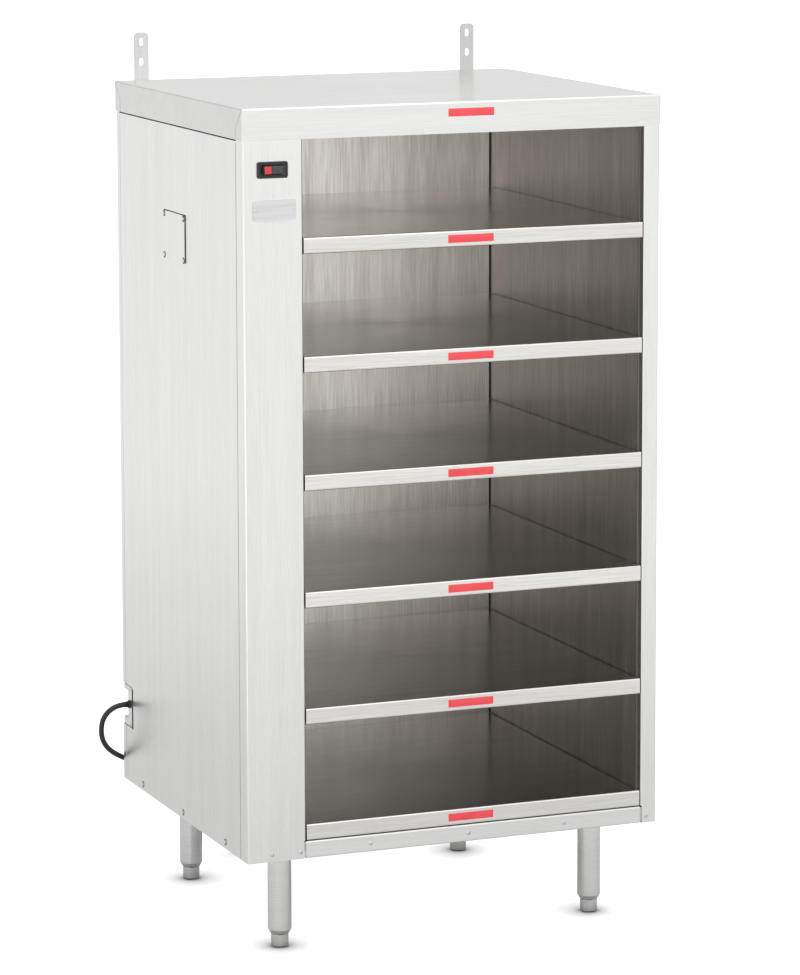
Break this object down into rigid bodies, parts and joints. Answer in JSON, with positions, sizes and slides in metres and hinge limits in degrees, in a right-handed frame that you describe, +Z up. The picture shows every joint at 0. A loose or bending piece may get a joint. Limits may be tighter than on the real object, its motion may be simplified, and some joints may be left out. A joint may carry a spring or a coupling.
{
  "type": "plate warmer cabinet",
  "caption": "Open-front heated shelf cabinet in folded stainless sheet on tube legs, with a control column, wall brackets and a mains lead.",
  "frame": {"origin": "on the floor, under the middle of the cabinet's box in plan, without the lead and plug", "axes": "+X to the right seen from the front, +Y to the rear, +Z up"},
  "size_m": [0.7625, 0.7782, 1.4395],
  "materials": {
    "body_stainless": "brushed",
    "liner_stainless": "brushed",
    "bracket_stainless": "brushed",
    "tube_stainless": "polished",
    "foot_steel": "satin",
    "tray_steel": "mill",
    "zinc_steel": "galvanised",
    "fastener_steel": "polished",
    "heater_foil": "foil",
    "switch_black": "moulded",
    "lens_red": "moulded",
    "cord_rubber": "moulded",
    "loom_black": "sleeved",
    "thermostat_black": "moulded",
    "ivory_plastic": "moulded"
  },
  "bodies": {
    "cabinet": {"top_cap": "body_stainless", "left_side_panel": "body_stainless", "right_side_panel": "body_stainless", "control_column": "body_stainless", "right_column": "body_stainless", "rear_panel": "body_stainless", "rear_post_left": "body_stainless", "rear_post_right": "body_stainless", "liner_left": "liner_stainless", "liner_right": "liner_stainless", "liner_rear": "liner_stainless", "liner_top": "liner_stainless", "shelf_deck_1": "liner_stainless", "shelf_deck_2": "liner_stainless", "shelf_deck_3": "liner_stainless", "shelf_deck_4": "liner_stainless", "shelf_deck_5": "liner_stainless", "shelf_deck_6": "liner_stainless", "shelf_tray_1": "tray_steel", "shelf_tray_2": "tray_steel", "shelf_tray_3": "tray_steel", "shelf_tray_4": "tray_steel", "shelf_tray_5": "tray_steel", "shelf_tray_6": "tray_steel", "heater_mat_1": "heater_foil", "heater_mat_2": "heater_foil", "heater_mat_3": "heater_foil", "heater_mat_4": "heater_foil", "heater_mat_5": "heater_foil", "heater_mat_6": "heater_foil", "base_rail": "body_stainless", "base_pan": "zinc_steel", "leg_plates": "zinc_steel", "base_bolts": "fastener_steel", "leg_front_left": "tube_stainless", "leg_front_right": "tube_stainless", "leg_rear_left": "tube_stainless", "leg_rear_right": "tube_stainless", "wall_bracket_left": "bracket_stainless", "wall_bracket_right": "bracket_stainless", "service_cover": "body_stainless", "side_screws": "fastener_steel", "front_screws": "fastener_steel", "rear_screws": "fastener_steel", "switch_frame": "switch_black", "cord_plate": "bracket_stainless", "cord_pocket": "zinc_steel", "strain_relief": "cord_rubber", "thermostats": "thermostat_black", "terminal_block": "ivory_plastic", "wiring": "loom_black", "cord_lead": "cord_rubber", "cord_coil": "cord_rubber", "plug": "cord_rubber"},
    "rocker": {"rocker": "switch_black", "rocker_lens": "lens_red"},
    "foot_front_left": {"foot_front_left": "foot_steel"},
    "foot_front_right": {"foot_front_right": "foot_steel"},
    "foot_rear_left": {"foot_rear_left": "foot_steel"},
    "foot_rear_right": {"foot_rear_right": "foot_steel"}
  },
  "joints": [
    {"name": "rocker_turn", "type": "hinge", "parent": "cabinet", "child": "rocker", "pos_m": [-0.3067, -0.3095, 1.264], "axis": [0, 0, -1], "range_deg": [0, 20]},
    {"name": "foot_front_left_screw", "type": "slide", "parent": "cabinet", "child": "foot_front_left", "axis": [0, 0, -1], "range_m": [0, 0.025]},
    {"name": "foot_front_right_screw", "type": "slide", "parent": "cabinet", "child": "foot_front_right", "axis": [0, 0, -1], "range_m": [0, 0.025]},
    {"name": "foot_rear_left_screw", "type": "slide", "parent": "cabinet", "child": "foot_rear_left", "axis": [0, 0, -1], "range_m": [0, 0.025]},
    {"name": "foot_rear_right_screw", "type": "slide", "parent": "cabinet", "child": "foot_rear_right", "axis": [0, 0, -1], "range_m": [0, 0.025]}
  ]
}
